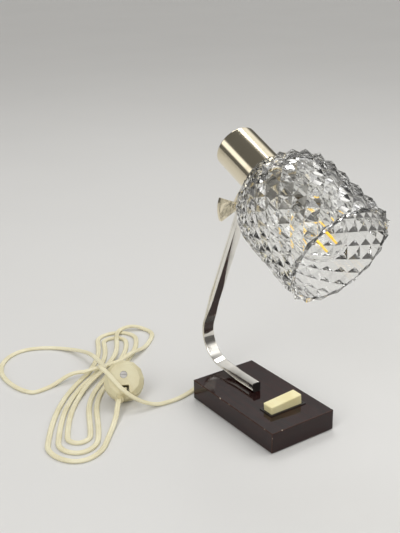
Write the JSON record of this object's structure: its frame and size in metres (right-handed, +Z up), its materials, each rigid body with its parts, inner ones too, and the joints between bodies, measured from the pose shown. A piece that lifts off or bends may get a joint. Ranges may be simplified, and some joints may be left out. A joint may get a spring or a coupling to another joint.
{
  "type": "desk lamp",
  "caption": "Small desk lamp with a lacquered block base, rocker switch, bent tube arm, thumb-screw pivot and tilting diamond-pressed glass shade on a metal cup, with a looped cord and plug.",
  "frame": {"origin": "middle of the base's underside, on the table", "axes": "+Z up, -Y to the front, where the head points, +X to the right seen from the front"},
  "size_m": [0.2405, 0.3709, 0.2647],
  "materials": {
    "lacquer": "dark red-brown high-gloss lacquer",
    "felt": "black felt",
    "steel_plate": "zinc-plated sheet",
    "ballast": "raw cast",
    "screw_steel": "plain",
    "chrome": "bright chrome plate",
    "black_plastic": "black, satin",
    "nickel": "polished nickel plate",
    "fibre": "dark friction fibre",
    "ivory": "ivory, moulded",
    "brass": "plain",
    "cord_pvc": "cream, semi-matt",
    "plug_cream": "cream, moulded",
    "holder_body": "pale moulded",
    "shade_glass": "clear pressed glass with diamond points",
    "bulb_glass": "clear blown glass",
    "light_strip": "yellow phosphor"
  },
  "bodies": {
    "stand": {"base_block": "lacquer", "felt_pad": "felt", "bottom_plate": "steel_plate", "bottom_screws": "screw_steel", "ballast_plate": "ballast", "arm_tube": "chrome", "arm_end_plug": "black_plastic", "arm_nut_bar": "screw_steel", "arm_screws": "screw_steel", "arm_lug": "chrome", "switch_housing": "black_plastic", "switch_terminals": "brass", "rocker_pin": "screw_steel", "cord_bush": "plug_cream", "cord_clamp": "steel_plate", "clamp_screws": "screw_steel", "cord_lead": "cord_pvc", "cord_hank": "cord_pvc", "plug_back": "plug_cream", "plug_face": "plug_cream", "plug_pins": "brass", "plug_screw": "screw_steel"},
    "head": {"head_fork": "nickel", "fork_rivets": "nickel", "friction_washers": "fibre", "pivot_nut": "nickel", "cup": "nickel", "holder_screw": "screw_steel", "lampholder": "holder_body", "screw_shell": "brass", "centre_contact": "brass", "shade_ring": "nickel", "glass_shade": "shade_glass", "bulb_cap": "nickel", "bulb_globe": "bulb_glass", "bulb_stem": "bulb_glass", "bulb_strips": "light_strip"},
    "thumb": {"thumb_screw": "nickel"},
    "rocker": {"rocker_key": "ivory", "rocker_contact": "brass"}
  },
  "joints": [
    {"name": "head_tilt", "type": "hinge", "parent": "stand", "child": "head", "pos_m": [0, 0.02616, 0.19741], "axis": [1, 0, 0], "range_deg": [-45, 50]},
    {"name": "thumb_turn", "type": "hinge", "parent": "head", "child": "thumb", "pos_m": [0, 0.02616, 0.19741], "axis": [1, 0, 0], "range_deg": [-90, 90]},
    {"name": "rocker_tip", "type": "hinge", "parent": "stand", "child": "rocker", "pos_m": [0.0022, -0.029, 0.0195], "axis": [0, 1, 0], "range_deg": [0, 8]}
  ]
}
